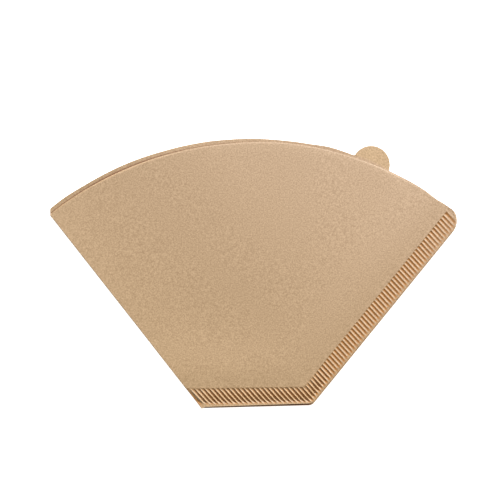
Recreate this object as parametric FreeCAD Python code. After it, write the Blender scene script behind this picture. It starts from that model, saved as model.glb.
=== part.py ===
import FreeCAD, Part
import math
import os

from FreeCAD import Vector as V

# Flat-lying cone coffee filter, in millimetres.
# +Z up. X runs across the filter and Y from its bottom seam to its mouth.
# One sheet is folded along its left edge. Its two layers meet again in a crimped
# band along the bottom and the right edge, and stay apart at the curved mouth.

# ---- driving dimensions ----
PAPER = 0.20                    # thickness of one layer
SEAM_GAP = 0.10                 # air left between the layers at the inner end of the crimp
FOLD_GAP = 0.20                 # inside width of the fold
RIB_DEPTH = 0.70                # crest to trough of the crimp

FOLD_FOOT = (-23.78, -61.99)    # bottom end of the fold
FOLD_LEAN = 38.14               # fold, degrees left of +Y
FOLD_CUT_X = -93.35             # both layers end square here, at the mouth end of the fold
BOTTOM_RISE = 1.52              # bottom cut, degrees above +X
BOTTOM_LENGTH = 50.80
SEAM_LEAN = 39.08               # right edge, degrees right of +Y

MOUTH_CENTRE = (-1.22, -84.41)  # back layer's mouth is an arc
MOUTH_R = 146.37
FRONT_SHIFT = (1.2, -3.0)       # front layer's mouth arc is lower at the fold
CORNER_R_BACK = 7.10            # rounded mouth end of the right edge
CORNER_R_FRONT = 7.90

BACK_PROUD_SIDE = 0.50          # back layer shows past the front one at the right edge
BACK_PROUD_FOOT = 0.80          # and at the right end of the bottom edge

TAB_CENTRE = (54.17, 49.93)     # grip tab on the back layer
TAB_R = 8.70

RIB_LEAN = 47.3                 # ribs fall to the right at this angle below +X
RIB_FIRST = -57.10              # first crest, measured square to the ribs
RIB_PITCH_BOTTOM = 1.669
RIB_COUNT_BOTTOM = 22
RIB_PITCH_SIDE = 1.7826
RIB_COUNT_SIDE = 58
RIB_PITCH_LAST = 2.12
RIB_CLOSE_UP = 0.45             # the first side ribs stand closer together, by this much in all
RIB_CLOSE_COUNT = 6
RIB_END = 0.50                  # length of each trough's sloping end

BAND_TOP_Y = (-52.61, 0.83)     # inner ends of the bottom ribs: height at x = -24.5, and rise in degrees
BAND_FOOT_Y = (-59.60, 1.10)    # outer ends of the bottom ribs, at x = -22.2
BAND_SIDE_IN = 8.42             # inner ends of the side ribs, from the right edge
BAND_SIDE_OUT = 1.75            # outer ends
BAND_LIP = 0.50                 # flat strip between the ribs and the panels
RAMP = 12.0                     # width over which the panels drop from the raised band

BOW = 1.50                      # how far the front panel stands off

# ---- levels ----
Z_BAND = RIB_DEPTH                              # underside of the flat parts of the band
BAND_T = 2 * PAPER + SEAM_GAP
Z_BAND_TOP = Z_BAND + BAND_T
FOLD_H = 2 * PAPER + FOLD_GAP


# ---- plane geometry ----
def unit(deg):
    return (math.cos(math.radians(deg)), math.sin(math.radians(deg)))


def shift(p, d, k):
    return (p[0] + d[0] * k, p[1] + d[1] * k)


def cross(line_a, line_b):
    (p, d), (q, e) = line_a, line_b
    det = d[0] * e[1] - d[1] * e[0]
    k = ((q[0] - p[0]) * e[1] - (q[1] - p[1]) * e[0]) / det
    return shift(p, d, k)


def moved(line, k):
    """The line moved to its left by k."""
    p, d = line
    return (shift(p, (-d[1], d[0]), k), d)


def on_circle(line, centre, r, sign):
    """Where the line leaves the circle, ahead (sign 1) or behind (sign -1)."""
    p, d = line
    fx, fy = p[0] - centre[0], p[1] - centre[1]
    b = fx * d[0] + fy * d[1]
    return shift(p, d, -b + sign * math.sqrt(b * b - fx * fx - fy * fy + r * r))


def two_circles(c0, r0, c1, r1):
    dx, dy = c1[0] - c0[0], c1[1] - c0[1]
    dist = math.hypot(dx, dy)
    a = (r0 * r0 - r1 * r1 + dist * dist) / (2 * dist)
    h = math.sqrt(r0 * r0 - a * a)
    m = (c0[0] + a * dx / dist, c0[1] + a * dy / dist)
    n = (-dy / dist, dx / dist)
    return sorted([shift(m, n, h), shift(m, n, -h)])


FOLD_D = unit(90 + FOLD_LEAN)
SEAM_D = unit(90 - SEAM_LEAN)
RIB_D = unit(-RIB_LEAN)
RIB_U = unit(90 - RIB_LEAN)

fold_out = (FOLD_FOOT, FOLD_D)
fold_line = moved(fold_out, -FOLD_H / 2)        # where the half-round fold starts
bottom = (FOLD_FOOT, unit(BOTTOM_RISE))
foot_right = shift(FOLD_FOOT, unit(BOTTOM_RISE), BOTTOM_LENGTH)
side = (foot_right, SEAM_D)

# the front layer's bottom edge leaves the back's at the fold and ends a little higher
foot_left = cross(bottom, fold_line)
fr = shift(foot_right, (0, 1), BACK_PROUD_FOOT)
k = math.hypot(fr[0] - foot_left[0], fr[1] - foot_left[1])
bottom_f = (foot_left, ((fr[0] - foot_left[0]) / k, (fr[1] - foot_left[1]) / k))
side_f = moved(side, BACK_PROUD_SIDE)
foot_right_f = cross(bottom_f, side_f)

fold_cut = ((FOLD_CUT_X, 0.0), (0.0, 1.0))
fold_end = cross(fold_line, fold_cut)
front_centre = shift(MOUTH_CENTRE, FRONT_SHIFT, 1)
FRONT_R = math.hypot(fold_end[0] - front_centre[0], fold_end[1] - front_centre[1])

rib_in_a = ((-24.5, BAND_TOP_Y[0]), unit(BAND_TOP_Y[1]))
rib_in_b = moved(side, BAND_SIDE_IN)
rib_out_a = ((-22.2, BAND_FOOT_Y[0]), unit(BAND_FOOT_Y[1]))
rib_out_b = moved(side, BAND_SIDE_OUT)
lip_a = moved(rib_in_a, BAND_LIP)
lip_b = moved(rib_in_b, BAND_LIP)
ramp_a = moved(lip_a, RAMP)
ramp_b = moved(lip_b, RAMP)
LIP_C = cross(lip_a, lip_b)
RAMP_C = cross(ramp_a, ramp_b)


def corner(edge, centre, big, r):
    """Centre and two tangent points of the round between the right edge and the mouth."""
    c = on_circle(moved(edge, r), centre, big - r, 1)
    k = big / (big - r)
    on_mouth = (centre[0] + (c[0] - centre[0]) * k, centre[1] + (c[1] - centre[1]) * k)
    d = edge[1]
    return c, on_mouth, shift(c, (d[1], -d[0]), r)


corner_b, corner_b_m, corner_b_s = corner(side, MOUTH_CENTRE, MOUTH_R, CORNER_R_BACK)
corner_f, corner_f_m, corner_f_s = corner(side_f, front_centre, FRONT_R, CORNER_R_FRONT)


# ---- solid geometry ----
def at(p, z):
    return V(p[0], p[1], z)


def seg(p, q, z):
    return Part.LineSegment(at(p, z), at(q, z)).toShape()


def arc(centre, r, p, q, z):
    """Arc from p to q round centre, the short way."""
    m = ((p[0] + q[0]) / 2 - centre[0], (p[1] + q[1]) / 2 - centre[1])
    k = r / math.hypot(*m)
    return Part.Arc(at(p, z), at(shift(centre, m, k), z), at(q, z)).toShape()


def clamped(n):
    """Multiplicities and knots of a clamped cubic with n poles."""
    spans = n - 3
    return [4] + [1] * (spans - 1) + [4], [float(i) for i in range(spans + 1)]


def patch(rows):
    """A cubic surface, or ruled one way where it has two rows, through a grid of poles."""
    um, uk = clamped(len(rows)) if len(rows) > 2 else ([2, 2], [0.0, 1.0])
    vm, vk = clamped(len(rows[0]))
    s = Part.BSplineSurface()
    s.buildFromPolesMultsKnots([[V(*p) for p in r] for r in rows], um, vm, uk, vk,
                               False, False, 3 if len(rows) > 2 else 1, 3)
    return s.toShape()


def bezier_arc(centre, r, p, q):
    """Four plane poles of the arc from p to q."""
    a0 = math.atan2(p[1] - centre[1], p[0] - centre[0])
    a1 = math.atan2(q[1] - centre[1], q[0] - centre[0])
    h = 4 / 3 * math.tan((a1 - a0) / 4) * r
    return [p, (p[0] - h * math.sin(a0), p[1] + h * math.cos(a0)),
            (q[0] + h * math.sin(a1), q[1] - h * math.cos(a1)), q]


def basis(n, t):
    """Values at t of the n clamped cubic basis functions."""
    mults, knots = clamped(n)
    kv = [k for k, m in zip(knots, mults) for _ in range(m)]
    t = min(t, kv[-1] - 1e-12)
    b = [1.0 if kv[i] <= t < kv[i + 1] else 0.0 for i in range(len(kv) - 1)]
    for d in range(1, 4):
        b = [((t - kv[i]) / (kv[i + d] - kv[i]) * b[i] if kv[i + d] > kv[i] else 0.0)
             + ((kv[i + d + 1] - t) / (kv[i + d + 1] - kv[i + 1]) * b[i + 1]
                if kv[i + d + 1] > kv[i + 1] else 0.0)
             for i in range(len(b) - 1)]
    return b, [sum(kv[i + 1:i + 4]) / 3 for i in range(n)]


def solve(a, b):
    n = len(a)
    m = [list(a[i]) + list(b[i]) for i in range(n)]
    for i in range(n):
        j = max(range(i, n), key=lambda r: abs(m[r][i]))
        m[i], m[j] = m[j], m[i]
        for r in range(n):
            if r != i:
                f = m[r][i] / m[i][i]
                m[r] = [x - f * y for x, y in zip(m[r], m[i])]
    return [[x / m[i][i] for x in m[i][n:]] for i in range(n)]


def arc_poles(centre, r, p, q, n):
    """Plane poles of a clamped cubic that follows the arc from p to q."""
    a0 = math.atan2(p[1] - centre[1], p[0] - centre[0])
    a1 = math.atan2(q[1] - centre[1], q[0] - centre[0])
    grev = basis(n, 0.0)[1]
    rows, want = [], []
    for g in grev:
        rows.append(basis(n, g)[0])
        a = a0 + (a1 - a0) * g / grev[-1]
        want.append((centre[0] + r * math.cos(a), centre[1] + r * math.sin(a)))
    poles = solve(rows, want)
    poles[0], poles[-1] = list(p), list(q)
    return [tuple(x) for x in poles]


def spread(n):
    g = basis(n, 0.0)[1]
    return [x / g[-1] for x in g]


def mix(p, q, t):
    return tuple(a + (b - a) * t for a, b in zip(p, q))


def lift(rows, dz):
    return [[(p[0], p[1], p[2] + dz) for p in r] for r in rows]


faces = []


def both(rows):
    """An outer surface and the inner one, a paper's thickness above it."""
    faces.append(patch(rows))
    faces.append(patch(lift(rows, PAPER)))


def wall(edge, dz):
    faces.append(edge.extrude(V(0, 0, dz)))


def flat(edges):
    faces.append(Part.Face(Part.Wire(edges)))


# ---- back panel ----
K = 0.5522847
Z_DROP = [Z_BAND, Z_BAND - 0.15, 0.0, 0.0]      # cubic fall from the band to the level part

m_left = on_circle(fold_cut, MOUTH_CENTRE, MOUTH_R, 1)
m_ramp = on_circle(ramp_b, MOUTH_CENTRE, MOUTH_R, 1)
m_lip = on_circle(lip_b, MOUTH_CENTRE, MOUTH_R, 1)
f_ramp = cross(fold_line, ramp_a)
f_lip = cross(fold_line, lip_a)
tab_l, tab_r = two_circles(MOUTH_CENTRE, MOUTH_R, TAB_CENTRE, TAB_R)
k = TAB_R / math.hypot(TAB_CENTRE[0] - MOUTH_CENTRE[0], TAB_CENTRE[1] - MOUTH_CENTRE[1])
tab_top = (TAB_CENTRE[0] + (TAB_CENTRE[0] - MOUTH_CENTRE[0]) * k,
           TAB_CENTRE[1] + (TAB_CENTRE[1] - MOUTH_CENTRE[1]) * k)


def mouth_back(z):
    return [arc(MOUTH_CENTRE, MOUTH_R, m_ramp, tab_r, z),
            Part.Arc(at(tab_r, z), at(tab_top, z), at(tab_l, z)).toShape(),
            arc(MOUTH_CENTRE, MOUTH_R, tab_l, m_left, z), seg(m_left, fold_end, z)]


for z in (0.0, PAPER):
    flat([seg(f_ramp, RAMP_C, z), seg(RAMP_C, m_ramp, z)] + mouth_back(z) + [seg(fold_end, f_ramp, z)])
for e in mouth_back(0.0):
    wall(e, PAPER)

lip_mitre = [mix(LIP_C, RAMP_C, t / 3) for t in range(4)]
fold_xy = [mix(f_lip, f_ramp, t / 3) for t in range(4)]
mouth_b = bezier_arc(MOUTH_CENTRE, MOUTH_R, m_lip, m_ramp)


def heights(xy, zs):
    return [(p[0], p[1], z) for p, z in zip(xy, zs)]


both([heights(fold_xy, Z_DROP), heights(lip_mitre, Z_DROP)])
both([heights(lip_mitre, Z_DROP), heights(mouth_b, Z_DROP)])
faces.append(patch([heights(mouth_b, Z_DROP), heights(mouth_b, [z + PAPER for z in Z_DROP])]))

# ---- front panel ----
NA, NB = 8, 6
fm_ramp = on_circle(ramp_b, front_centre, FRONT_R, 1)
fm_lip = on_circle(lip_b, front_centre, FRONT_R, 1)
A, B = spread(NA), spread(NB)


def stand(a, b):
    """Height of the front panel's outside: 0 to 1 from the fold to the side ramp, and up to the mouth."""
    return FOLD_H + BOW * (0.5 + 0.5 * b) * math.sin(math.pi * 0.62 * a)


low = [mix(f_ramp, RAMP_C, a) for a in A]
high = arc_poles(front_centre, FRONT_R, fold_end, fm_ramp, NA)
panel = [[mix(low[i], high[i], B[j]) + (stand(A[i], B[j]),) for i in range(NA)] for j in range(NB)]
top = panel
faces.append(patch(top))
faces.append(patch(lift(top, -PAPER)))
faces.append(patch([top[-1], lift(top, -PAPER)[-1]]))

Z_FOLD = [Z_BAND_TOP, Z_BAND_TOP - 0.15, FOLD_H, FOLD_H]


def rise(z_end):
    return [Z_BAND_TOP, Z_BAND_TOP + (z_end - Z_BAND_TOP) * 0.4, Z_BAND_TOP + (z_end - Z_BAND_TOP) * 0.8, z_end]


strip_a = []
for i in range(NA):
    foot = mix(f_lip, LIP_C, A[i])
    zs = [mix((Z_FOLD[n],), (rise(stand(1, 0))[n],), A[i])[0] for n in range(4)]
    zs[3] = stand(A[i], 0)
    strip_a.append(heights([mix(foot, low[i], t / 3) for t in range(4)], zs))
strip_b = []
end = bezier_arc(front_centre, FRONT_R, fm_lip, fm_ramp)
for j in range(NB):
    zs = rise(stand(1, B[j]))
    strip_b.append([mix(lip_mitre[n], end[n], B[j]) + (zs[n],) for n in range(4)])
for strip in (strip_a, strip_b):
    faces.append(patch(strip))
    faces.append(patch(lift(strip, -PAPER)))
faces.append(patch([strip_b[-1], lift(strip_b, -PAPER)[-1]]))

# ---- fold ----
def round_rows(r):
    """Offsets outwards and heights of the poles of the lower and upper quarter of the fold."""
    lower = [(0, 0), (K * r, 0), (r, r - K * r), (r, r)]
    return lower, [(n, 2 * r - z) for n, z in reversed(lower)]


def on_cut(line, n):
    """Point of a cut line at distance n outside the fold line."""
    return cross(line, moved(fold_line, n))


def fold_piece(sections):
    """Two quarter rounds along the fold. A section is the radius, base height and place of each offset."""
    for half in (0, 1):
        rows = []
        for r, z0, place in sections:
            row = []
            for n, z in round_rows(r)[half]:
                p = place(n, z)
                row.append((p[0], p[1], z0 + z))
            rows.append(row)
        faces.append(patch(rows))


def cut(line):
    return lambda n, z: on_cut(line, n)


def between(t):
    a, b = cut(lip_a), cut(ramp_a)
    return lambda n, z: mix(a(n, z), b(n, z), t)


BAND_R = BAND_T / 2
fold_piece([(BAND_R, Z_BAND, cut(bottom)), (BAND_R, Z_BAND, cut(lip_a))])
for inset in (0.0, PAPER):
    rad = [BAND_R, BAND_R, FOLD_H / 2, FOLD_H / 2]
    base = [Z_BAND, Z_BAND - 0.15, 0.0, 0.0]
    fold_piece([(rad[n] - inset, base[n] + inset, between(n / 3)) for n in range(4)])
    fold_piece([(FOLD_H / 2 - inset, inset, cut(ramp_a)), (FOLD_H / 2 - inset, inset, cut(fold_cut))])

for half in (0, 1):
    rows = []
    for inset in (0.0, PAPER):
        rows.append([on_cut(fold_cut, n) + (z + inset,) for n, z in round_rows(FOLD_H / 2 - inset)[half]])
    faces.append(patch(rows))


def curve(poles):
    c = Part.BSplineCurve()
    m, kn = clamped(len(poles))
    c.buildFromPolesMultsKnots([V(*p) for p in poles], m, kn, False, 3)
    return c.toShape()


def half_disc(r, z0, line, levels):
    place = cut(line)
    edges = []
    for half in (0, 1):
        edges.append(curve([place(n, z) + (z0 + z,) for n, z in round_rows(r)[half]]))
    p = place(0, 0)
    zs = sorted(levels, reverse=True)
    for a, b in zip(zs, zs[1:]):
        edges.append(Part.LineSegment(at(p, a), at(p, b)).toShape())
    flat(edges)


Z_LEDGE = Z_BAND + PAPER
Z_AIR = Z_LEDGE + SEAM_GAP
half_disc(BAND_R, Z_BAND, bottom, [Z_BAND, Z_LEDGE, Z_AIR, Z_BAND_TOP])
half_disc(SEAM_GAP / 2, Z_LEDGE, lip_a, [Z_LEDGE, Z_AIR])

# ---- closed end of the pocket along the band ----
wall(seg(f_lip, LIP_C, Z_LEDGE), SEAM_GAP)
wall(seg(LIP_C, fm_lip, Z_LEDGE), SEAM_GAP)


# ---- band: edges ----
def rim_back(z):
    return [arc(MOUTH_CENTRE, MOUTH_R, m_lip, corner_b_m, z),
            arc(corner_b, CORNER_R_BACK, corner_b_m, corner_b_s, z),
            seg(corner_b_s, foot_right, z), seg(foot_right, foot_left, z)]


def rim_front(z):
    return [arc(front_centre, FRONT_R, fm_lip, corner_f_m, z),
            arc(corner_f, CORNER_R_FRONT, corner_f_m, corner_f_s, z),
            seg(corner_f_s, foot_right_f, z), seg(foot_right_f, foot_left, z)]


for e in rim_back(Z_BAND):
    wall(e, PAPER)
for e in rim_front(Z_LEDGE):
    wall(e, SEAM_GAP)
for e in rim_front(Z_AIR):
    wall(e, PAPER)
flat(rim_back(Z_LEDGE) + list(reversed(rim_front(Z_LEDGE))) + [seg(fm_lip, m_lip, Z_LEDGE)])

# ---- band: ribs ----
crests = [RIB_FIRST + RIB_PITCH_BOTTOM * i for i in range(RIB_COUNT_BOTTOM + 1)]
crests += [crests[-1] + RIB_PITCH_SIDE * (i + 1) - RIB_CLOSE_UP * min(1, (i + 1) / RIB_CLOSE_COUNT)
           for i in range(RIB_COUNT_SIDE)]
crests.append(crests[-1] + RIB_PITCH_LAST)
CORNER_IN = cross(rib_in_a, rib_in_b)
CORNER_OUT = cross(rib_out_a, rib_out_b)


def across(p):
    return p[0] * RIB_U[0] + p[1] * RIB_U[1]


def rib_line(u):
    return ((RIB_U[0] * u, RIB_U[1] * u), RIB_D)


def rib_start(u):
    return cross(rib_line(u), rib_in_a if u < across(CORNER_IN) else rib_in_b)


def rib_stop(u):
    p = cross(rib_line(u), rib_out_a if u < across(CORNER_OUT) else rib_out_b)
    d = (p[0] - corner_f[0], p[1] - corner_f[1])
    room = CORNER_R_FRONT - 1.0
    beyond = d[0] * SEAM_D[0] + d[1] * SEAM_D[1] > 0
    if beyond and math.hypot(*d) > room:
        p = on_circle(rib_line(u), corner_f, room, 1)
    return p


def chain(at_u, turn, u0, u1):
    pts = [at_u(u0)]
    if u0 < across(turn) < u1:
        pts.append(turn)
    return pts + [at_u(u1)]


hole_in, hole_out = [rib_start(crests[0])], [rib_stop(crests[0])]
ribs = []
for u0, u1 in zip(crests, crests[1:]):
    um = (u0 + u1) / 2
    c_in = chain(rib_start, CORNER_IN, u0, u1)
    c_out = chain(rib_stop, CORNER_OUT, u0, u1)
    v_in = shift(rib_start(um), RIB_D, RIB_END)
    v_out = shift(rib_stop(um), RIB_D, -RIB_END)
    hole_in += c_in[1:]
    hole_out += c_out[1:]
    ribs.append((c_in, c_out, v_in, v_out))


def polygon(pts):
    faces.append(Part.Face(Part.makePolygon(pts + [pts[0]])))


def band_face(z, rim, lip_end):
    outer = Part.Wire([seg(foot_left, f_lip, z), seg(f_lip, LIP_C, z), seg(LIP_C, lip_end, z)] + rim)
    ring = [at(p, z) for p in hole_in + list(reversed(hole_out))]
    inner = Part.makePolygon(ring + [ring[0]])
    faces.append(Part.makeFace([outer, inner], "Part::FaceMakerBullseye"))
    deep = z - RIB_DEPTH
    for c_in, c_out, v_in, v_out in ribs:
        polygon([at(c_in[0], z), at(c_out[0], z), at(v_out, deep), at(v_in, deep)])
        polygon([at(c_in[-1], z), at(c_out[-1], z), at(v_out, deep), at(v_in, deep)])
        for ends, v in ((c_in, v_in), (c_out, v_out)):
            for p, q in zip(ends, ends[1:]):
                polygon([at(p, z), at(q, z), at(v, deep)])


band_face(Z_BAND, rim_back(Z_BAND), m_lip)
band_face(Z_BAND_TOP, rim_front(Z_BAND_TOP), fm_lip)

# ---- one closed solid ----
skin = Part.Compound(faces)
skin.sewShape(1e-4)
shells = skin.Shells
print("faces", len(faces), "shells", len(shells), "closed", [s.isClosed() for s in shells])
filter_paper = Part.Solid(shells[0])
if filter_paper.Volume < 0:
    filter_paper.reverse()
# the origin is the middle of the outline, on the surface below
low_y = on_cut(bottom, BAND_R)[1]
high_y = MOUTH_CENTRE[1] + MOUTH_R
right_x = corner_b[0] + CORNER_R_BACK
MIDDLE = ((FOLD_CUT_X + right_x) / 2, (low_y + high_y) / 2)
filter_paper.translate(V(-MIDDLE[0], -MIDDLE[1], 0))
print("valid", filter_paper.isValid(), "volume", round(filter_paper.Volume, 1), "middle", MIDDLE,
      "size", round(right_x - FOLD_CUT_X, 2), round(high_y - low_y, 2), round(filter_paper.BoundBox.ZMax, 3))

os.makedirs("parts", exist_ok=True)
filter_paper.exportStep("parts/filter_paper.step")
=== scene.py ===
import math

import bmesh
import bpy
import numpy as np
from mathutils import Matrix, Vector


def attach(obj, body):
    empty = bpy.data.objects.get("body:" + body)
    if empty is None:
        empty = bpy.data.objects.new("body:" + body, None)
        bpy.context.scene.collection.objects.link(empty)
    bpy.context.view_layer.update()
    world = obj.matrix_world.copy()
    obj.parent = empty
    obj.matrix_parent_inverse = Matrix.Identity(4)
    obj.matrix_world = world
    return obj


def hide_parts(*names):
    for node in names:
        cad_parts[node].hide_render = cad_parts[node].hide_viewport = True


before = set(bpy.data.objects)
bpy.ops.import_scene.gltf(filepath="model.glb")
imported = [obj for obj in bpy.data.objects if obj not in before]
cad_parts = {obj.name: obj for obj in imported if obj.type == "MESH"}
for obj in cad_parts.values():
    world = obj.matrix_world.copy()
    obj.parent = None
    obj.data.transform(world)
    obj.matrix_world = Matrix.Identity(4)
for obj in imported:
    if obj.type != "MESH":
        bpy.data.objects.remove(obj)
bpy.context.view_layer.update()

# The sheet's lengths are in millimetres, in the layout that the CAD part is drawn in.
# MIDDLE is that layout's own centre, which the part moves to the origin.
MIDDLE = np.array([0.095182, -0.014174])
PAPER = 0.20


# ---------------------------------------------------------------- plane helpers
def unit(deg):
    return np.array([math.cos(math.radians(deg)), math.sin(math.radians(deg))])


def cross2(a, b):
    return a[0] * b[1] - a[1] * b[0]


def meet(p, d, q, e):
    return p + d * (cross2(q - p, e) / cross2(d, e))


def left_of(d):
    return np.array([-d[1], d[0]])


def circle_hit(p, d, c, r):
    f = p - c
    b = f @ d
    return p + d * (-b + math.sqrt(b * b - f @ f + r * r))


def smooth(x):
    x = np.clip(x, 0.0, 1.0)
    return x * x * (3 - 2 * x)


# ---------------------------------------------------------------- the layout
FOLD_FOOT = np.array([-23.78, -61.99])
FOLD_D = unit(90 + 38.14)
SEAM_D = unit(90 - 39.08)
BOTTOM_D = unit(1.52)
FOOT_R = FOLD_FOOT + BOTTOM_D * 50.80
RIB_D = unit(-47.3)
RIB_U = unit(42.7)
CUT_X = -93.35
FOLD_R = 0.30

MOUTH_C = np.array([-1.22, -84.41])
MOUTH_R = 146.37
TAB_C = np.array([54.17, 49.93])
TAB_R = 8.70

FOLD_P = FOLD_FOOT - left_of(FOLD_D) * FOLD_R          # the line where the round of the fold starts
FOLD_END = meet(FOLD_P, FOLD_D, np.array([CUT_X, 0.0]), np.array([0.0, 1.0]))
FOOT_L = meet(FOLD_FOOT, BOTTOM_D, FOLD_P, FOLD_D)
FOOT_ROUND = 3.6

RIB_IN_A = (np.array([-24.5, -52.61]), unit(0.83))
RIB_IN_B = (FOOT_R + left_of(SEAM_D) * 8.42, SEAM_D)
RIB_OUT_A = (np.array([-22.2, -59.60]), unit(1.10))
RIB_OUT_B = (FOOT_R + left_of(SEAM_D) * 1.75, SEAM_D)
LIP = 0.50
LIP_A = (RIB_IN_A[0] + left_of(RIB_IN_A[1]) * LIP, RIB_IN_A[1])
LIP_B = (RIB_IN_B[0] + left_of(RIB_IN_B[1]) * LIP, RIB_IN_B[1])


# How far the back layer's mouth edge lies outside its circle, and how far the front layer's lies inside it, by angle from straight up.
BACK_OUT = [(-39.5, 0.33), (-38, 0.38), (-36, 0.43), (-34, 0.28), (-32, 0.05), (-29, 0), (-25, 0.07), (-20, 0.0), (-16, -0.17), (-13, -0.10), (-8, 0.0), (-4, -0.08),
            (0, 0), (3, -0.06), (6, -0.10), (8, 0), (11, 0.06), (13, 0.55), (14.5, 0.72), (17, 0.50), (18.5, 0.32), (19.5, 0.2), (22, -0.1),
            (25, -0.20), (27.5, -0.15), (30, 0.02), (33, 0.09), (34.5, -0.15), (36, -0.50), (38, -0.50), (40, -0.1)]
FRONT_IN = [(-39.6, 1.73), (-38.5, 1.68), (-36.5, 1.65), (-34.5, 1.76), (-31, 1.87), (-28.5, 1.95), (-26.5, 2.00), (-24, 2.12), (-20, 2.15), (-16, 2.18),
            (-13, 2.22), (-10, 2.14), (-7, 2.08), (-5, 2.08), (-3.5, 1.98), (-1.5, 1.83), (0, 1.69), (2, 1.52), (4, 1.34), (6, 1.22), (8, 1.12), (10, 1.0),
            (12, 0.92), (15, 0.88), (18, 0.80), (22, 0.57), (25, 0.50), (27.5, 0.46), (30, 0.24), (33, 0.18), (34.5, 0.26), (36, 0.48), (38, 0.50), (40, 0.2)]


def smooth_table(table, spread=0.8):
    """A table of values by angle, softened so that it has no corners: its fine angles and values."""
    t = np.arange(-44.0, 44.0, 0.1)
    v = np.interp(t, [a for a, _ in table], [b for _, b in table])
    g = np.exp(-0.5 * (np.arange(-30, 31) * 0.1 / spread) ** 2)
    return t, np.convolve(np.pad(v, 30, mode="edge"), g / g.sum(), "valid")


back_out = smooth_table(BACK_OUT)
front_in = smooth_table(FRONT_IN)


def mouth_angle(p):
    return np.degrees(np.arctan2(p[..., 0] - MOUTH_C[0], p[..., 1] - MOUTH_C[1]))


def fillet(edge_p, edge_d, centre, big, r):
    """A corner of radius r between a straight edge and the mouth's arc: its centre, and its ends on the arc and on the edge."""
    c = circle_hit(edge_p + left_of(edge_d) * r, edge_d, centre, big - r)
    return c, centre + (c - centre) * (big / (big - r)), c - left_of(edge_d) * r


def arc_points(c, r, p, q, n):
    a0 = math.atan2(*(p - c)[::-1])
    a1 = math.atan2(*(q - c)[::-1])
    a = np.linspace(a0, a1, n)
    return np.stack([c[0] + r * np.cos(a), c[1] + r * np.sin(a)], 1)


def outline(proud_side, foot_at, proud_foot, big, r, shift, start):
    """The upper edge, from the fold's mouth end to the round corner's tip, and the lower edge, from the fold's foot to the same tip.
    shift gives the mouth edge's distance outside its circle, by angle."""
    side_p = FOOT_R + left_of(SEAM_D) * proud_side
    foot_p = FOOT_L + BOTTOM_D * foot_at[0] + left_of(BOTTOM_D) * foot_at[1]
    foot_d = FOOT_R + left_of(BOTTOM_D) * proud_foot - foot_p
    foot_d = foot_d / np.hypot(*foot_d)
    c, on_mouth, on_side = fillet(side_p, SEAM_D, MOUTH_C, big, r)
    foot_r = meet(foot_p, foot_d, side_p, SEAM_D)
    turn = math.acos(float(foot_d @ SEAM_D))
    run = FOOT_ROUND * math.tan(turn / 2)
    round_c = foot_r - foot_d * run + left_of(foot_d) * FOOT_ROUND
    tip = c + RIB_U * r
    end = float(mouth_angle(on_mouth))
    t = np.linspace(start, end, 500)
    fade = smooth((end - t) / 3.0)
    rad = np.interp(t, shift[0], shift[1])
    rad = MOUTH_R + rad * fade + (big - MOUTH_R) * (1 - fade)
    upper = MOUTH_C + rad[:, None] * np.stack([np.sin(np.radians(t)), np.cos(np.radians(t))], 1)
    upper = np.concatenate([upper, arc_points(c, r, on_mouth, tip, 60)[1:]])
    lower = np.concatenate([
        np.array([FOOT_L, foot_p]) if foot_at[0] else np.array([FOOT_L]),
        arc_points(round_c, FOOT_ROUND, foot_r - foot_d * run, foot_r + SEAM_D * run, 20),
        on_side[None],
        arc_points(c, r, on_side, tip, 60)[1:],
    ])
    return swell(upper, c), swell(lower, c)


def swell(p, c):
    """The round corner is a little fuller than a circle, on its mouth side."""
    q = p - c
    turn = np.degrees(np.arctan2(q[:, 1], q[:, 0]))
    near = 1 - smooth((np.hypot(*q.T) - 9.0) / 3.0)
    more = np.interp(turn, [-10, 10, 25, 38, 47, 54, 62, 74, 86, 100], [0, 0.08, 0.28, 0.38, 0.38, 0.27, 0.29, 0.32, 0.18, 0]) * near
    return c + q * (1 + more / np.hypot(*q.T))[:, None]


FRONT_IN_END = 0.16
front_up, front_low = outline(0.50, (1.6, 0.68), 1.00, MOUTH_R - FRONT_IN_END, 7.90, (front_in[0], -front_in[1]), -39.56)
back_up, back_low = outline(0.0, (0.5, 0.10), 0.08, MOUTH_R, 7.10, back_out, -39.3)
front_up = np.concatenate([FOLD_END[None], front_up[front_up[:, 0] > CUT_X + 0.05]])
back_up = back_up[back_up[:, 0] > CUT_X + 0.02]
back_up = np.concatenate([FOLD_END[None], np.array([[CUT_X, back_up[0, 1]]]), back_up])
fold_edge = np.array([FOOT_L, FOLD_END])


def at_u(chain, u):
    cu = np.maximum.accumulate(chain @ RIB_U)
    u = np.clip(u, cu[0], cu[-1])
    return np.stack([np.interp(u, cu, chain[:, 0]), np.interp(u, cu, chain[:, 1])], 1)


def bent_line(u, a, b):
    """How far along the rib direction a bent line lies, at each u. It is line a and then line b."""
    turn = meet(*a, *b) @ RIB_U
    out = []
    for x in u:
        p, d = a if x < turn else b
        out.append((p + d * ((x - p @ RIB_U) / (d @ RIB_U))) @ RIB_D)
    return np.array(out)


# ---------------------------------------------------------------- the crimp's crests
crests = [-57.22 + 1.669 * i for i in range(23)]
crests += [crests[-1] + 1.7805 * (i + 1) - 0.38 * min(1.0, (i + 1) / 6) for i in range(58)]
crests.append(crests[-1] + 2.12)
crests = np.array(crests)
STEPS = np.array([0.0, 0.08, 0.19, 0.33, 0.49, 0.65, 0.80, 0.92])     # columns from one crest to the next
TAIL = 12

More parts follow.
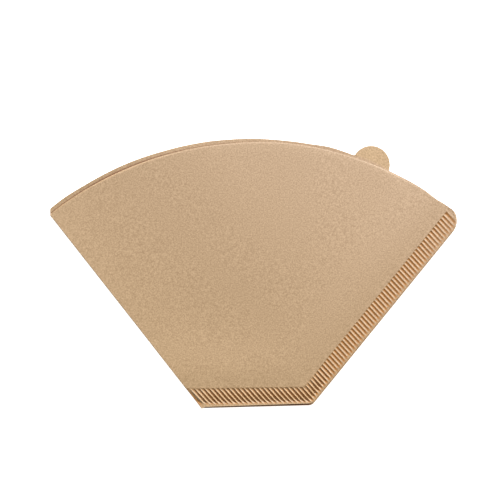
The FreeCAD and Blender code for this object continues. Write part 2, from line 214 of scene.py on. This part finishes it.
u_list = list(np.linspace(FOOT_L @ RIB_U, crests[0], 13)[:-1])
for a, b in zip(crests, crests[1:]):
    u_list += list(a + (b - a) * STEPS)
u_main = np.array(u_list + [crests[-1]])
K0 = int(np.argmin(abs(u_main - FOLD_END @ RIB_U)))
u_main[K0] = FOLD_END @ RIB_U
tail = 1 - (1 - np.linspace(0, 1, TAIL + 1)[1:]) ** 1.7
uF = np.concatenate([u_main, u_main[-1] + (front_up[-1] @ RIB_U - u_main[-1]) * tail])
uB = np.concatenate([u_main, u_main[-1] + (back_up[-1] @ RIB_U - u_main[-1]) * tail])
N = len(uF)


# ---------------------------------------------------------------- heights
Z_BAND = 1.10
PRESSED = 0.04
TURN_IN = meet(*RIB_IN_A, *RIB_IN_B) @ RIB_U


def inside(p):
    """Distance from the crimp's lip, positive in the panels and rounded where the lip turns."""
    da = (p - LIP_A[0]) @ left_of(LIP_A[1])
    db = (p - LIP_B[0]) @ left_of(LIP_B[1])
    h = np.clip(0.5 + 0.5 * (db - da) / 4.0, 0, 1)
    return db * (1 - h) + da * h - 4.0 * h * (1 - h)


def from_fold(p):
    return np.maximum(-((p - FOLD_P) @ left_of(FOLD_D)), 0.0)


def waves(p):
    x, y = p[..., 0], p[..., 1]
    return (np.sin(x / 17.0 + y / 41.0 + 0.6) * np.sin(y / 23.0 - x / 60.0 + 1.9)
            + 0.5 * np.sin(x / 9.3 - y / 14.1 + 4.0) * np.sin(y / 11.7 + x / 31.0))


def base_back(p):
    m = inside(p)
    return Z_BAND * (1 - smooth(m / 30.0)) + 0.04 * (1 + 0.6 * waves(p)) * smooth(m / 30.0)


def gap(p):
    """Air between the two layers."""
    m = np.maximum(inside(p), 0.0)
    n = from_fold(p)
    rad = np.hypot(p[..., 0] - MOUTH_C[0], p[..., 1] - MOUTH_C[1])
    far = np.clip((rad - 25.0) / 120.0, 0, 1)
    closed = 0.7 * smooth((mouth_angle(p) - 6.0) / 22.0) * smooth((rad - 95.0) / 50.0)
    g = PRESSED + (0.22 + 0.32 * np.exp(-n / 9.0) * smooth(m / 45.0)) * smooth(m / 9.0)
    g = g + 1.30 * (1 - np.exp(-m / 17.0)) * smooth((n - 8.0) / 72.0) * (0.62 + 0.38 * far) * (1 - closed)
    return g + 0.05 * waves(p[..., ::-1] * 1.1) * smooth(m / 25.0) * smooth(n / 25.0)


def rib_wave(u):
    """0 on a crest and 1 in a trough, the same for the painted brown shade, which lies more on a trough's shaded side,
    and how much of the bottom band's deeper troughs it has."""
    i = np.clip(np.searchsorted(crests, u, side="right") - 1, 0, len(crests) - 2)
    f = np.clip((u - crests[i]) / (crests[i + 1] - crests[i]), 0, 1)
    sharp = 1 - smooth((u - TURN_IN - 3.0) / 14.0)
    out = []
    for shift in (0.0, 0.15 - 0.06 * sharp):
        v = np.abs(np.sin(np.pi * (f - shift))) ** 1.32
        v = np.where(u < crests[0], 0.9 * np.sin(np.clip((crests[0] - u) / 1.5, 0, 1) * np.pi / 2), v)
        out.append(np.where(u > crests[-1], 0.30 * smooth((u - crests[-1]) / 1.0), v))
    return out[0], out[1], sharp


def ribs(u, d, d_in, d_out):
    """Change of height, and how much painted trough shade a place gets."""
    v, v_brown, sharp = rib_wave(u)
    x = (d - d_in) * (1 - 0.26 * sharp)
    start = (1 - 0.44 * sharp) * smooth((x - 0.02) / (0.45 + 0.45 * sharp)) + 0.44 * sharp * smooth(x / 4.2)
    # The first ribs are shallower, and those by the round corner fade toward the outer edge.
    corner = smooth((u - crests[-16]) / 14.0)
    weak = (1 - 0.25 * (1 - smooth((u - crests[0]) / 6.0))) * (1 - (0.04 * (1 - sharp) + 0.20 * corner) * smooth(x / 4.5))
    pit = 1 + 0.22 * corner * np.exp(-((x - 0.9) / 0.9) ** 2)     # they are deepest at their inner end
    w = start * smooth((d_out - d + 0.95) / 2.6)
    brown = start * smooth((d_out - d + 1.9) / 2.1)
    lift = smooth((x + 0.7 - 0.5 * sharp) / (0.6 + 2.9 * sharp)) * smooth((d_out - d + 0.7) / 2.0)
    # Painted shade: dim darkens the colour of the bottom crests' inner ends.
    dim = 0.12 * sharp * np.exp(-((x - 0.35) / 0.55) ** 2)        # the bottom crests' inner ends are shaded
    narrow = 1 - 0.50 * sharp * np.exp(-np.maximum(x, 0) / 1.3)   # and narrower
    v, v_brown = v ** narrow, v_brown ** narrow
    foot = -0.22 * sharp * smooth((d - d_out + 2.3) / 2.3)       # the bottom's plain foot lies lower than the crests
    trough_shade = brown * weak * (0.06 * (1 - sharp) + (0.92 + 0.08 * sharp) * smooth((v_brown - 0.30) / 0.52))
    return (-w * weak * pit * (0.30 + 0.39 * sharp) * v + (0.01 + 0.18 * sharp) * lift * (1 - v) ** 2 + foot,
            trough_shade + dim * (1 - trough_shade))


def bottom_face(p, u, d, d_in, d_out):
    dz, trough_shade = ribs(u, d, d_in, d_out)
    return np.maximum(base_back(p) + dz, 0.0), trough_shade


# ---------------------------------------------------------------- columns along the ribs
NEAR_MOUTH = [0.0, 0.08, 0.18, 0.30, 0.44, 0.62, 1.0, 2.2, 3.8, 6.0]
AT_FRONT_EDGE = [0.0, 0.30, 0.52, 0.68, 0.80, 0.89, 0.96, 1.05, 1.30, 2.0]
PANEL = 10
AT_IN = [-1.3, -0.8, -0.5, -0.25, -0.05, 0.1, 0.22, 0.37, 0.7]
LIP_AT = AT_IN.index(-0.5)
MID = 4
AT_OUT = [-1.3, -0.8, -0.4, 0.0, 0.4, 0.9]
R_LIP = len(NEAR_MOUTH) + PANEL + LIP_AT


def rows_of(s, e, u, first_rows):
    """Distances along the rib direction of one layer's rows, from the mouth or fold at s to the outer cut edge at e."""
    a, b = bent_line(u, RIB_IN_A, RIB_IN_B), bent_line(u, RIB_OUT_A, RIB_OUT_B)
    b = np.minimum(b, e - 0.35)
    a = np.minimum(a, b)
    first = np.maximum(a + AT_IN[0], s)
    rows = [np.minimum(s + x, first) for x in first_rows]
    rows += [first - (first - s) * (1 - (j + 1) / (PANEL + 1)) ** 2.0 for j in range(PANEL)]
    rows += [a + x for x in AT_IN]
    lo = a + AT_IN[-1]
    hi = np.maximum(b + AT_OUT[0], lo)
    rows += [lo + (hi - lo) * (j + 1) / (MID + 1) for j in range(MID)]
    rows += [b + x for x in AT_OUT]
    rows += [np.maximum(b + AT_OUT[-1], e - 0.25), e - 0.08, e]
    return np.maximum.accumulate(np.clip(np.array(rows), s, e), 0), a, b


def layer(start, end, u, first_rows):
    s, e = start @ RIB_D, end @ RIB_D
    d, a, b = rows_of(s, e, u, first_rows)
    return s, e, d, a, b


def at(u, d):
    return u[None, :, None] * RIB_U + d[:, :, None] * RIB_D


startF, startB = at_u(front_up, uF), at_u(back_up, uB)
startF[:K0 + 1] = at_u(fold_edge, uF[:K0 + 1])
startB[:K0 + 1] = at_u(fold_edge, uB[:K0 + 1])
endF, endB = at_u(front_low, uF), at_u(back_low, uB)
slant = np.maximum((MOUTH_C - startB) @ RIB_D / np.hypot(*(startB - MOUTH_C).T), 0.25)
sF, eF, dF, aF, bF = layer(startF, endF, uF, [x / np.maximum(slant, 0.45) for x in NEAR_MOUTH])
strip = np.clip((startF - startB) @ RIB_D, 0.25, 6.0)
sB, eB, dB, aB, bB = layer(startB, endB, uB, [strip * x for x in AT_FRONT_EDGE])
R = len(dF)
is_mouth = np.arange(N) > K0

xyF, xyB = at(uF, dF), at(uB, dB)


# How far each column is along the bottom edge (1) or up the side (0), and its angle at the mouth.
along_foot = 1 - smooth((uF - FOOT_R @ RIB_U + 1.5) / 3.0)
at_angle = mouth_angle(startB)


def front_extra(d, air):
    """The front layer's cut edge rises a little off the crimp's foot, and its mouth edge is rounded down."""
    up = (0.03 + 0.10 * along_foot) * np.exp(-np.maximum(eF - d, 0) / 0.7)
    m = np.maximum(d - sF, 0) * slant
    down = np.interp(at_angle, *RIM_DROP) * (1 - smooth(m / np.interp(at_angle, *RIM_WIDE))) + np.interp(at_angle, *RIM_SAG) * np.clip(1 - m / 6.0, 0, 1) ** 2
    down = np.where(is_mouth, down, 0.0)
    return up - np.minimum(down, 0.8 * air)


def back_extra(d):
    """The back layer's free rim curls up a little beyond the front layer's edge."""
    f = np.clip(1 - (d - sB) / strip, 0, 1)
    return np.where(is_mouth, np.interp(at_angle, *CURL), 0.0) * f ** 1.5


# Each table is by angle at the mouth.
RIM_DROP = ([-39, -34, -26, -20, -14, -8, 4, 16, 24, 28, 33, 37, 39.5], [0.34, 0.52, 0.50, 0.33, 0.16, 0.11, 0.08, 0.06, 0.11, 0.11, 0.05, 0.03, 0.0])
RIM_SAG = ([-14, -4, 4, 14, 20, 27, 30, 33], [0.0, 0.12, 0.12, 0.18, 0.11, 0.12, 0.04, 0.0])
RIM_WIDE = ([-36, -29, -22], [0.52, 0.60, 0.68])
CURL = ([-40, -37, -28, -20, -12], [0.0, 0.26, 0.22, 0.08, 0.0])
SLIT_SHADE = ([-36, -26, -22, -18, -14, -9, -5, -2, 2, 8, 14, 18, 22], [1.0, 1.0, 0.95, 0.95, 0.68, 0.60, 0.58, 0.25, 0.06, 0.12, 0.15, 0.04, 0.0])
SLIT_WIDE = ([-36, -30, -26, -18, -10, 0], [0.30, 0.40, 0.56, 0.48, 0.38, 0.30])
NEAR_SHADE = ([-34, -24, -16, -8, -2, 2, 6, 12, 16, 18], [0.0, 0.08, 0.10, 0.05, 0.0, 0.0, 0.12, 0.17, 0.13, 0.0])

zB, deepB = bottom_face(xyB, np.broadcast_to(uB, dB.shape), dB, aB, bB)
zB = zB + back_extra(dB)
zF, deepF = bottom_face(xyF, np.broadcast_to(uF, dF.shape), dF, aF, bF)
zF = zF + PAPER + gap(xyF) + front_extra(dF, gap(xyF))          # underside of the front layer

# The inner faces end at the crimp's lip. Along the round corner they end just inside the mouth.
pocket = np.minimum(0.30, 0.3 * (eF - sF))
ramp = (np.arange(R_LIP + 1) / R_LIP)[:, None]
diF = np.maximum(dF[:R_LIP + 1], sF + pocket * ramp)
diB = np.maximum(dB[:R_LIP + 1], sB + pocket * ramp)
diF = np.minimum(diF, eF - 0.3 * np.minimum(eF - sF, 1.0))
diB = np.minimum(diB, eB - 0.3 * np.minimum(eB - sB, 1.0))
xyFI, xyBI = at(uF, diF), at(uB, diB)
zFI, deepFI = bottom_face(xyFI, np.broadcast_to(uF, diF.shape), diF, aF, bF)
zFI = zFI + PAPER + gap(xyFI) + front_extra(diF, gap(xyFI))
zBI, deepBI = bottom_face(xyBI, np.broadcast_to(uB, diB.shape), diB, aB, bB)
zBI = zBI + PAPER + back_extra(diB)
# Painted shade: how shut in a place is, on the back layer's face under and just beyond the front layer's edge; the
# material darkens and browns the colour there.
beyond = (strip - (diB - sB)) * slant
slit = np.interp(at_angle, *SLIT_SHADE) * np.exp(-(np.maximum(beyond, 0) / np.interp(at_angle, *SLIT_WIDE)) ** 2)
near = np.interp(at_angle, *NEAR_SHADE) * np.clip(1 - beyond / 1.2, 0, 1)
shadeBI = np.where(is_mouth, np.maximum(slit, near), 0.0)
# Fold columns that start inside the crimp have no pocket, so their inner points meet in its corner.
shut = np.where(sF[:K0] >= (aF + AT_IN[LIP_AT])[:K0] - 0.05)[0]
k1 = int(shut.max()) if len(shut) else -1
for k in range(k1 + 1):
    xyFI[:, k] = xyBI[:, k] = xyFI[-1, k1 + 1]
    zFI[:, k] = zBI[:, k] = 0.5 * (zFI[-1, k1 + 1] + zBI[-1, k1 + 1])

# ---------------------------------------------------------------- the grip tab, on the back layer
TAB_ROWS = 9
on_tab = (np.hypot(*(startB - TAB_C).T) < TAB_R) & is_mouth
kt = np.where(on_tab)[0]


def arc_tab_hit(lo, hi):
    """The point between two points of the mouth's arc that lies on the tab's circle."""
    for _ in range(50):
        mid = 0.5 * (lo + hi)
        if np.hypot(*(mid - TAB_C)) < TAB_R:
            hi = mid
        else:
            lo = mid
    return 0.5 * (lo + hi)


tab_l = arc_tab_hit(startB[kt[0] - 1], startB[kt[0]])
tab_r = arc_tab_hit(startB[kt[-1] + 1], startB[kt[-1]])
ta, tb = (math.atan2(*(p - TAB_C)[::-1]) for p in (tab_l, tab_r))
along = np.hypot(*(startB[kt] - tab_l).T) / np.hypot(*(tab_r - tab_l))
rim = TAB_C + TAB_R * np.stack([np.cos(ta + (tb - ta) * along), np.sin(ta + (tb - ta) * along)], 1)
xyT = np.repeat(startB[None], TAB_ROWS, 0)
for j in range(TAB_ROWS):
    w = ((j + 1) / TAB_ROWS) ** 0.8
    xyT[j, kt] = startB[kt] * (1 - w) + rim * w
zT = np.repeat(zB[0][None], TAB_ROWS, 0)
out = np.hypot(*(np.moveaxis(xyT[:, kt] - startB[kt], -1, 0)))
zT[:, kt] = base_back(xyT[:, kt]) + 0.05 * smooth(out / 8.0)

# ---------------------------------------------------------------- the mesh
verts, marks = [], []


def add(xy, z, trough_shade=0.0, lit_through=0.0, shade=0.0):
    """Adds a grid of points and returns their numbers. The marks are read by the paper's material."""
    n0 = len(verts)
    shape = z.shape
    pts = np.concatenate([xy - MIDDLE, z[..., None]], -1).reshape(-1, 3)
    verts.extend(pts.tolist())
    marks.extend(zip(*[np.broadcast_to(m, shape).ravel().tolist() for m in (trough_shade, lit_through, shade)]))
    return n0 + np.arange(pts.shape[0]).reshape(shape)


faces = []


def skin(path, cols):
    """Quads between neighbouring rows of a path, over the given columns."""
    for lo, hi in zip(path, path[1:]):
        for k in cols:
            faces.append((int(lo[k]), int(lo[k + 1]), int(hi[k + 1]), int(hi[k])))


side = 1 - rib_wave(uF)[2]
band = smooth((dF - aF) / 0.8) * smooth((bF - dF + 1.0) / 1.8)
# Painted shade: the side band's ribs are darkened a little in colour, more in their troughs.
FT = add(xyF, zF + PAPER, deepF, 0.0, side * band * (0.055 + 0.06 * deepF))
inward = np.minimum(0.28, 0.3 * (eF - sF))[:, None] * RIB_D
# Painted shadow: the front layer's cut edge at the foot and the back layer's strip beyond it are darkened in colour,
# more toward the side seam.
foot_shade = along_foot * np.interp(endF[:, 0], [-23, -15, -5, 11, 17, 23], [0.30, 0.60, 0.75, 0.80, 0.95, 1.0])
wall = add(xyF[-1], zF[-1], 0.0, 0.0, foot_shade)
groove = add(xyF[-1] - inward, zF[-1] - 0.5 * gap(xyF[-1]), 0.0, 0.0, foot_shade)
on_back = xyF[-1] + 0.12 * (xyB[-1] - xyF[-1])
BGAP = add(on_back, zB[-1] + base_back(on_back) - base_back(xyB[-1]) + PAPER, 0.0, 0.0, foot_shade)
BEDGE = add(xyB[-1], zB[-1] + PAPER, 0.0, 0.0, foot_shade * 0.85)
BU = add(xyB, zB, deepB)
FI = add(xyFI, zFI, deepFI)
# Painted shade: the slit also adds to the back layer's trough mark, which browns its colour.
BI = add(xyBI, zBI, np.maximum(deepBI, np.where(is_mouth, 0.60 * slit, 0.0)), 0.0, shadeBI)
# Painted light: the tab, a single layer, is marked to come out paler, standing in for light shining through it.
TU = add(xyT, zT, 0.0, 1.0)
TT = add(xyT, zT + PAPER, 0.0, 1.0)

every = range(N - 1)
mouth_cols = range(K0, N - 1)
fold_cols = range(0, K0)
skin([*FT, wall, groove, BGAP, BEDGE, *BU[::-1]], every)
skin([*BI, *FI[::-1]], every)
skin([FI[0], FT[0]], mouth_cols)
skin([BU[0], *TU, *TT[::-1], BI[0]], mouth_cols)

# the round of the fold, outside and inside
H = 6
outer_dir = np.repeat(left_of(FOLD_D)[None], K0 + 1, 0)
outer_dir[0] = -BOTTOM_D / abs(BOTTOM_D @ left_of(FOLD_D))
outer_dir[K0] = np.array([0.0, -1.0]) / abs(np.array([0.0, -1.0]) @ left_of(FOLD_D))
top, low = zF[0, :K0 + 1] + PAPER, zB[0, :K0 + 1]
# The fold's outer round is marked as one layer too, for the same painted through-light.
rings = []
for j in range(1, H):
    t = math.pi * j / H
    rings.append(add(startF[:K0 + 1] + outer_dir * (FOLD_R * math.sin(t)), 0.5 * (top + low) - 0.5 * (top - low) * math.cos(t), 0.0, 1.0))
skin([BU[0], *rings, FT[0]], fold_cols)
inner = []
reach = np.where(np.arange(K0 + 1) > k1, FOLD_R - PAPER, 0.0)
for j in range(1, H):
    t = math.pi * j / H
    zi, zo = zFI[0, :K0 + 1], zBI[0, :K0 + 1]
    inner.append(add(xyFI[0, :K0 + 1] + outer_dir * (reach * math.sin(t))[:, None], 0.5 * (zi + zo) + 0.5 * (zi - zo) * math.cos(t)))
skin([FI[0], *inner, BI[0]], fold_cols)
# the cut through the fold at the mouth, the little cut face at its foot, and the round corner's tip
ring_out = [BU[0][K0], *[r[K0] for r in rings], FT[0][K0]]
ring_in = [BI[0][K0], *[r[K0] for r in inner[::-1]], FI[0][K0]]
for i in range(len(ring_out) - 1):
    faces.append((int(ring_out[i]), int(ring_out[i + 1]), int(ring_in[i + 1]), int(ring_in[i])))
faces.append(tuple(int(i) for i in [FT[0][0], wall[0], groove[0], BGAP[0], BEDGE[0], BU[0][0], *[r[0] for r in rings]]))
faces.append((int(wall[-1]), int(groove[-1]), int(BGAP[-1]), int(BEDGE[-1])))

mesh = bpy.data.meshes.new("folded_filter_sheet")
bm = bmesh.new()
mark_layers = [bm.verts.layers.float.new(name) for name in ("trough", "one_layer_lit_through", "painted_shade")]
bv = []
for co, mark in zip(verts, marks):
    v = bm.verts.new([c * 0.001 for c in co])
    for mark_layer, value in zip(mark_layers, mark):
        v[mark_layer] = value
    bv.append(v)
for f in faces:
    ids = list(dict.fromkeys(f))
    if len(ids) > 2:
        bm.faces.new([bv[i] for i in ids])
bmesh.ops.remove_doubles(bm, verts=bm.verts, dist=4e-7)
bmesh.ops.recalc_face_normals(bm, faces=bm.faces)
open_edges = [e for e in bm.edges if len(e.link_faces) != 2]
print("sheet: verts", len(bm.verts), "faces", len(bm.faces), "open or shared edges", len(open_edges), "volume mm3", round(bm.calc_volume() * 1e9, 1))
for e in open_edges[:12]:
    print("  ", len(e.link_faces), [round(c * 1000, 3) for c in e.verts[0].co], [round(c * 1000, 3) for c in e.verts[1].co])
for f in bm.faces:
    f.smooth = True
for e in bm.edges:
    if len(e.link_faces) == 2 and e.calc_face_angle(0) > math.radians(48):
        e.smooth = False
bm.to_mesh(mesh)
bm.free()
mesh.update()
sheet = bpy.data.objects.new("folded_filter_sheet", mesh)
bpy.context.scene.collection.objects.link(sheet)


# ---------------------------------------------------------------- the paper
def paper_material():
    mat = bpy.data.materials.new("unbleached_filter_paper")
    mat.use_nodes = True
    nt = mat.node_tree
    nt.nodes.clear()
    new = nt.nodes.new
    link = nt.links.new
    out_node = new("ShaderNodeOutputMaterial")
    bsdf = new("ShaderNodeBsdfPrincipled")
    link(bsdf.outputs["BSDF"], out_node.inputs["Surface"])
    bsdf.inputs["Roughness"].default_value = 0.55
    bsdf.inputs["Specular IOR Level"].default_value = 0.85

    coord = new("ShaderNodeTexCoord")

    def noise(scale, detail=3.0, rough=0.55, stretch=None, turn=0.0, distort=0.0):
        mp = new("ShaderNodeMapping")
        mp.inputs["Scale"].default_value = stretch or (1.0, 1.0, 1.0)
        mp.inputs["Rotation"].default_value = (0.0, 0.0, turn)
        link(coord.outputs["Object"], mp.inputs["Vector"])
        n = new("ShaderNodeTexNoise")
        n.inputs["Scale"].default_value = scale
        n.inputs["Detail"].default_value = detail
        n.inputs["Roughness"].default_value = rough
        n.inputs["Distortion"].default_value = distort
        link(mp.outputs["Vector"], n.inputs["Vector"])
        return n.outputs["Fac"]

    def remap(src, a, b, c, d):
        m = new("ShaderNodeMapRange")
        m.inputs["From Min"].default_value = a
        m.inputs["From Max"].default_value = b
        m.inputs["To Min"].default_value = c
        m.inputs["To Max"].default_value = d
        link(src, m.inputs["Value"])
        return m.outputs["Result"]

    def calc(op, a, b):
        m = new("ShaderNodeMath")
        m.operation = op
        for i, x in enumerate((a, b)):
            if isinstance(x, (int, float)):
                m.inputs[i].default_value = x
            else:
                link(x, m.inputs[i])
        return m.outputs[0]

    cloud = noise(220.0, 3.0, 0.6)                       # pulp clouds, 4 to 5 mm
    mottle = noise(1650.0, 3.0, 0.6)                    # grain of a little under 1 mm
    fibre_a = noise(900.0, 3.0, 0.6, (1.0, 5.0, 1.0), 0.35, 0.6)
    fibre_b = noise(900.0, 3.0, 0.6, (1.0, 5.0, 1.0), 1.75, 0.6)
    fibre = calc("MAXIMUM", fibre_a, fibre_b)
    speck = noise(1500.0, 2.0, 0.5)

    tone = calc("ADD", remap(cloud, 0.3, 0.7, -0.004, 0.004), remap(mottle, 0.3, 0.7, -0.20, 0.20))
    tone = calc("ADD", tone, remap(fibre, 0.45, 0.75, -0.018, 0.03))
    tone = calc("ADD", tone, remap(speck, 0.68, 0.80, 0.0, -0.12))
    ramp_node = new("ShaderNodeValToRGB")
    cr = ramp_node.color_ramp
    cr.interpolation = "LINEAR"
    cr.elements[0].position = 0.0
    cr.elements[0].color = (0.204, 0.110, 0.036, 1)
    cr.elements[1].position = 1.0
    cr.elements[1].color = (0.600, 0.412, 0.238, 1)
    mid = cr.elements.new(0.5)
    mid.color = (0.402, 0.261, 0.137, 1)
    link(remap(tone, -0.375, 0.375, 0.0, 1.0), ramp_node.inputs["Fac"])

    def tint(color, mark, to):
        """The colour, multiplied by the given one where the sheet's mark is 1."""
        att = new("ShaderNodeAttribute")
        att.attribute_name = mark
        curves = new("ShaderNodeValToRGB")
        curves.color_ramp.elements[0].color = (1, 1, 1, 1)
        curves.color_ramp.elements[1].color = (*to, 1)
        link(att.outputs["Fac"], curves.inputs["Fac"])
        mul = new("ShaderNodeVectorMath")
        mul.operation = "MULTIPLY"
        link(color, mul.inputs[0])
        link(curves.outputs["Color"], mul.inputs[1])
        return mul.outputs["Vector"]

    # Painted shade: light that bounces between the paper's faces in a trough or a slit comes out darker and browner,
    # and this mark paints that shade into the colour.
    color = tint(ramp_node.outputs["Color"], "trough", (0.94, 0.555, 0.11))
    # Painted light: single-layer paper comes out paler and yellower, standing in for light from the pale floor shining
    # through it.
    color = tint(color, "one_layer_lit_through", (1.10, 1.09, 0.97))
    # Painted shade and shadow: the slit under the front layer's mouth edge, the strip along the foot's cut edge and,
    # slightly, the side band's ribs come out darker and browner.
    color = tint(color, "painted_shade", (0.27, 0.11, 0.01))

    # Painted light: the colour is very slightly paler, mostly in blue, toward the mouth, standing in for the lamps'
    # brighter, whiter light there.
    place = new("ShaderNodeVectorMath")
    place.operation = "DOT_PRODUCT"
    link(coord.outputs["Object"], place.inputs[0])
    place.inputs[1].default_value = (0.42, 1.0, 0.0)
    painted_light_tint = new("ShaderNodeCombineXYZ")
    painted_light_tint.inputs["X"].default_value = 1.0
    link(remap(place.outputs["Value"], -0.08, 0.08, 0.994, 1.006), painted_light_tint.inputs["Y"])
    link(remap(place.outputs["Value"], -0.08, 0.08, 0.92, 1.08), painted_light_tint.inputs["Z"])
    mul = new("ShaderNodeVectorMath")
    mul.operation = "MULTIPLY"
    link(color, mul.inputs[0])
    link(painted_light_tint.outputs["Vector"], mul.inputs[1])
    link(mul.outputs["Vector"], bsdf.inputs["Base Color"])

    bump = new("ShaderNodeBump")
    bump.inputs["Strength"].default_value = 0.35
    bump.inputs["Distance"].default_value = 0.00006
    link(calc("ADD", calc("MULTIPLY", mottle, 0.6), calc("MULTIPLY", fibre, 0.25)), bump.inputs["Height"])
    link(bump.outputs["Normal"], bsdf.inputs["Normal"])
    return mat


mesh.materials.append(paper_material())
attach(sheet, "root")
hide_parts("filter_paper")


# ---------------------------------------------------------------- floor, light and camera
def floor_material():
    mat = bpy.data.materials.new("pale_floor")
    mat.use_nodes = True
    bsdf = mat.node_tree.nodes["Principled BSDF"]
    bsdf.inputs["Base Color"].default_value = (0.93, 0.93, 0.93, 1)
    bsdf.inputs["Roughness"].default_value = 0.9
    bsdf.inputs["Specular IOR Level"].default_value = 0.1
    bsdf.inputs["Emission Color"].default_value = (1, 1, 1, 1)
    bsdf.inputs["Emission Strength"].default_value = 0.9
    return mat


floor_mesh = bpy.data.meshes.new("floor")
S = 2.5
floor_mesh.from_pydata([(-S, -S, 0), (S, -S, 0), (S, S, 0), (-S, S, 0)], [], [(0, 1, 2, 3)])
floor_mesh.materials.append(floor_material())
floor = bpy.data.objects.new("floor", floor_mesh)
floor.location = (0, 0, -0.00003)
bpy.context.scene.collection.objects.link(floor)


def area_light(name, azimuth, elevation, distance, size, power, color=(1, 1, 1)):
    """azimuth is counter-clockwise from +X."""
    data = bpy.data.lights.new(name, "AREA")
    data.shape = "DISK"
    data.size = size
    data.energy = power
    data.color = color
    obj = bpy.data.objects.new(name, data)
    a, e = math.radians(azimuth), math.radians(elevation)
    pos = Vector((math.cos(a) * math.cos(e), math.sin(a) * math.cos(e), math.sin(e))) * distance
    obj.location = pos
    obj.rotation_euler = (-pos).to_track_quat("-Z", "Y").to_euler()
    bpy.context.scene.collection.objects.link(obj)
    return obj


area_light("key_light", 66, 29, 2.0, 0.62, 76.2)
area_light("top_light", 70, 62, 1.2, 0.5, 4.33, (0.92, 0.97, 1.06))

world = bpy.data.worlds.new("soft_room")
world.use_nodes = True
world.node_tree.nodes["Background"].inputs["Color"].default_value = (1, 1, 1, 1)
world.node_tree.nodes["Background"].inputs["Strength"].default_value = 0.206
bpy.context.scene.world = world

scene = bpy.context.scene
scene.view_settings.view_transform = "Standard"
scene.view_settings.look = "None"
scene.view_settings.exposure = 0.0
scene.view_settings.gamma = 1.0

cam_data = bpy.data.cameras.new("camera")
cam_data.sensor_width = 36
cam_data.lens = 100
cam_data.clip_start = 0.01
cam_data.clip_end = 20
camera = bpy.data.objects.new("camera", cam_data)
camera.location = (-0.001567, 0.010732, 0.230 * 100 / 36)
camera.rotation_euler = (0, 0, 0)
scene.collection.objects.link(camera)
scene.camera = camera
